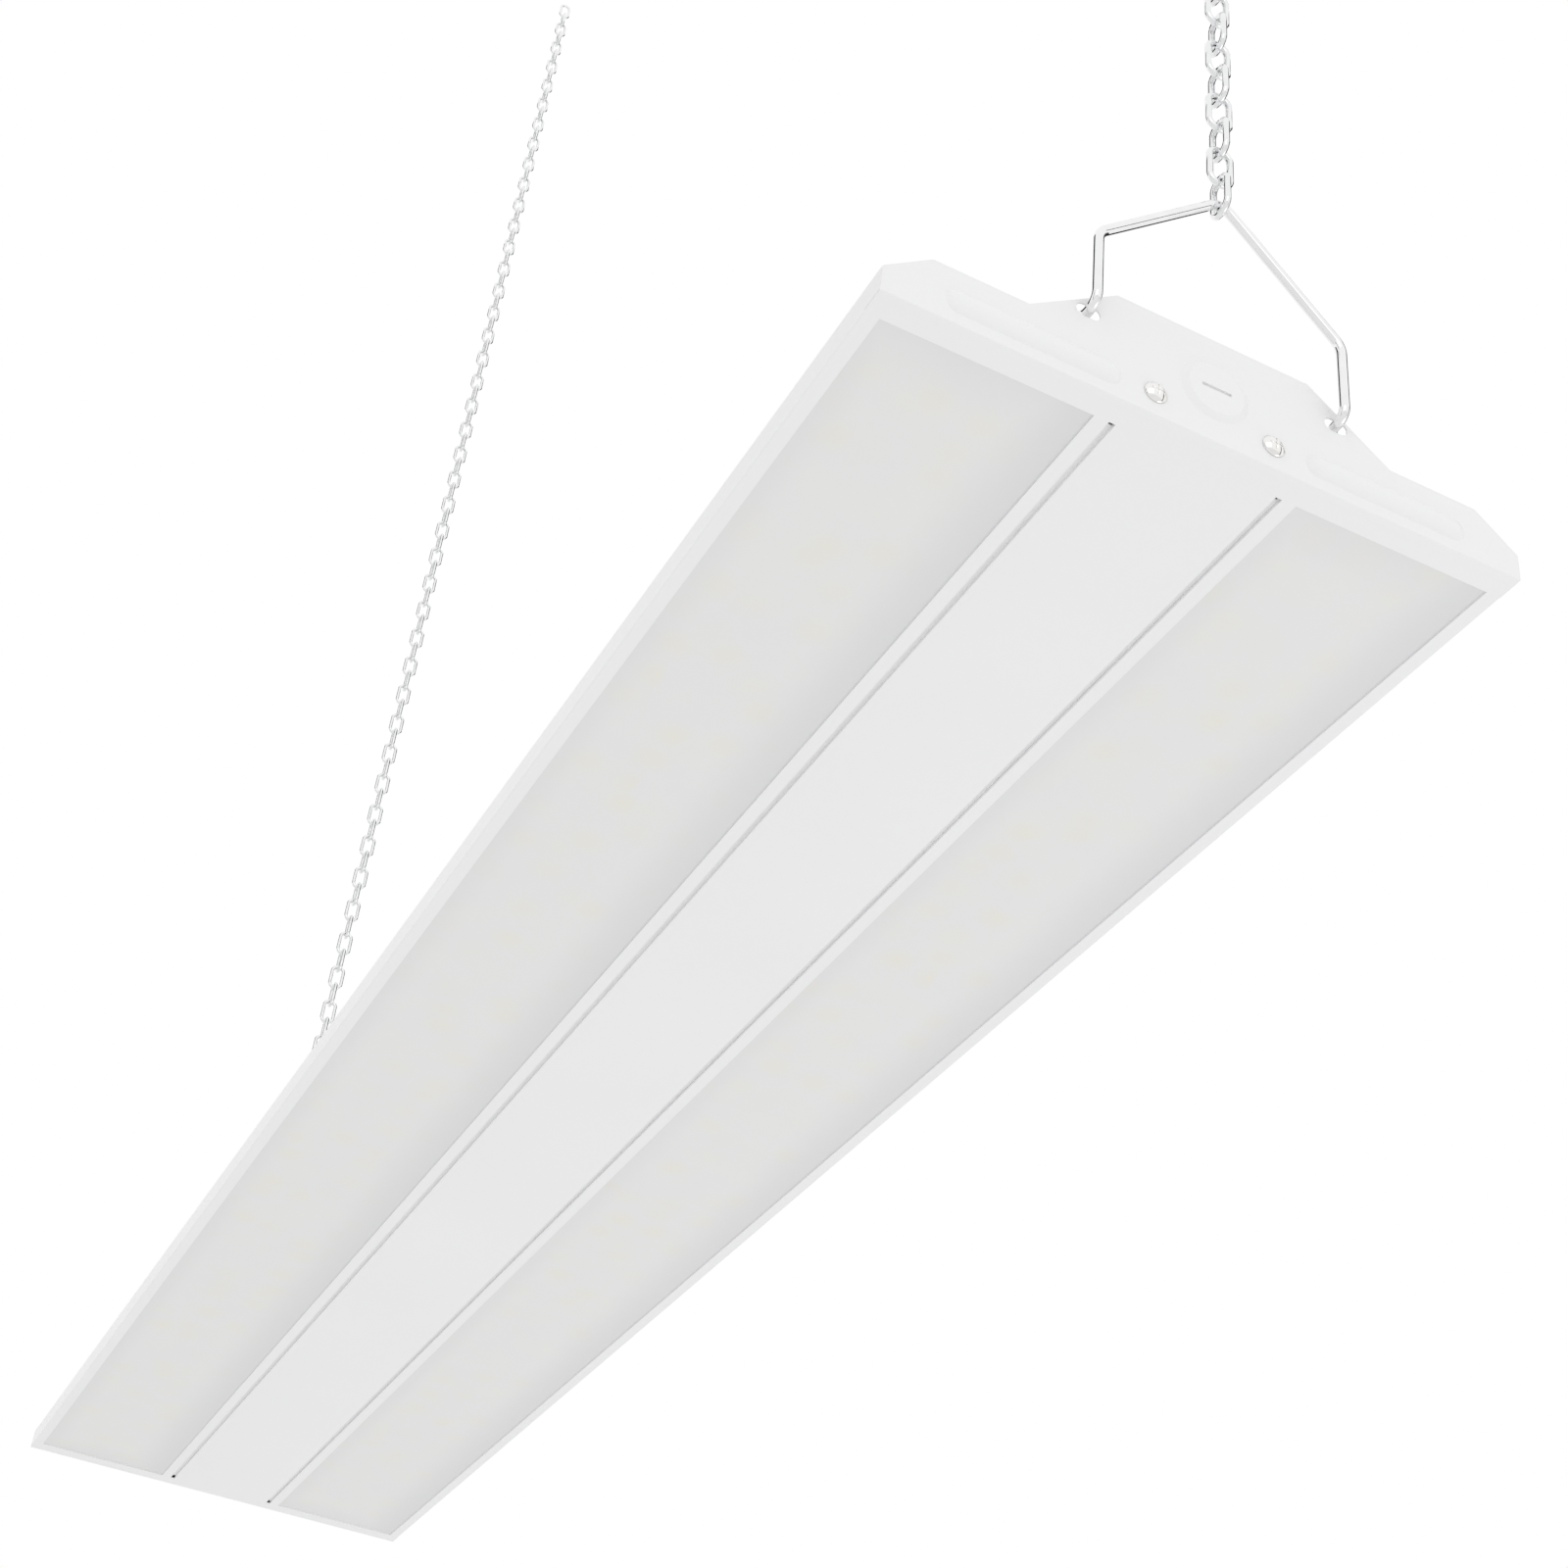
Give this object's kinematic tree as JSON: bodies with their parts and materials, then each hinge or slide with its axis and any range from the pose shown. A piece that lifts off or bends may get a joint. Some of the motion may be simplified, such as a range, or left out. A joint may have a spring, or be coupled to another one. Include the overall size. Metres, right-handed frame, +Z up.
{
  "type": "hanging shop light",
  "caption": "Long white steel shop light with two frosted lenses either side of a flat cover strip, hung level by a wire hook and a link chain at each end.",
  "frame": {"origin": "halfway between the two ceiling hooks, at the height where the top links bear on them", "axes": "+X across the fixture, +Y along it from the near end to the far end, +Z up"},
  "size_m": [0.265, 1.243, 1.7264],
  "materials": {
    "white_steel": "smooth satin white powder coat on folded sheet steel",
    "frosted_lens": "frosted translucent polycarbonate",
    "board_white": "white solder mask on an aluminium-core board",
    "diode_yellow": "yellow phosphor gel",
    "bright_screw": "bright nickel-plated steel",
    "connector_white": "moulded white nylon",
    "driver_case": "plain drawn aluminium case",
    "red_lead": "insulated lead",
    "black_lead": "insulated lead",
    "white_lead": "insulated lead",
    "green_lead": "insulated lead",
    "grommet_rubber": "moulded rubber",
    "black_nylon": "moulded nylon",
    "chrome_wire": "bright chrome-plated steel wire",
    "bright_chain": "bright zinc-plated steel chain"
  },
  "bodies": {
    "ceiling_links": {"near_top_link": "bright_chain", "far_top_link": "bright_chain"},
    "swing_links": {"near_second_link": "bright_chain", "far_second_link": "bright_chain"},
    "near_chain": {"near_chain_links": "bright_chain"},
    "near_lower_link": {"near_lower_link": "bright_chain"},
    "far_chain": {"far_chain_links": "bright_chain"},
    "far_lower_link": {"far_lower_link": "bright_chain"},
    "fixture": {"board_connectors": "connector_white", "board_screws": "bright_screw", "centre_cover": "white_steel", "driver_screws": "bright_screw", "end_plate_rivets": "white_steel", "far_bottom_link": "bright_chain", "far_end_plate": "white_steel", "far_end_screws": "bright_screw", "far_hook": "chrome_wire", "far_led_driver": "driver_case", "far_left_led_board": "board_white", "far_right_led_board": "board_white", "ground_screw": "bright_screw", "ground_wire": "green_lead", "housing": "white_steel", "inlet_bushing": "black_nylon", "left_led_tray": "white_steel", "left_leds": "diode_yellow", "left_lens": "frosted_lens", "live_wires": "black_lead", "near_bottom_link": "bright_chain", "near_end_plate": "white_steel", "near_end_screws": "bright_screw", "near_hook": "chrome_wire", "near_led_driver": "driver_case", "near_left_led_board": "board_white", "near_right_led_board": "board_white", "negative_leads": "black_lead", "neutral_wires": "white_lead", "positive_leads": "red_lead", "right_led_tray": "white_steel", "right_leds": "diode_yellow", "right_lens": "frosted_lens", "terminal_block": "connector_white", "tray_rivets": "white_steel", "web_grommets": "grommet_rubber"}
  },
  "joints": [
    {"name": "side_swing", "type": "hinge", "parent": "ceiling_links", "child": "swing_links", "pos_m": [0, 0, -0.015], "axis": [0, 1, 0], "range_deg": [-25, 25]},
    {"name": "end_swing", "type": "hinge", "parent": "swing_links", "child": "near_chain", "pos_m": [0, -0.6155, -0.0314], "axis": [1, 0, 0], "range_deg": [-15, 15]},
    {"name": "near_lower_link_pivot", "type": "hinge", "parent": "near_chain", "child": "near_lower_link", "pos_m": [0, -0.6155, -1.573], "axis": [1, 0, 0], "range_deg": [-15, 15]},
    {"name": "side_tilt", "type": "hinge", "parent": "near_lower_link", "child": "fixture", "pos_m": [0, -0.6155, -1.5894], "axis": [0, 1, 0], "range_deg": [-20, 20]},
    {"name": "far_end_swing", "type": "hinge", "parent": "swing_links", "child": "far_chain", "pos_m": [0, 0.6155, -0.0314], "axis": [1, 0, 0], "range_deg": [-15, 15]},
    {"name": "far_lower_link_pivot", "type": "hinge", "parent": "far_chain", "child": "far_lower_link", "pos_m": [0, 0.6155, -1.573], "axis": [1, 0, 0], "range_deg": [-15, 15]}
  ],
  "couplings": [
    {"joint": "near_lower_link_pivot", "follows": "end_swing", "ratio": -1},
    {"joint": "far_end_swing", "follows": "end_swing", "ratio": 1},
    {"joint": "far_lower_link_pivot", "follows": "end_swing", "ratio": -1}
  ]
}
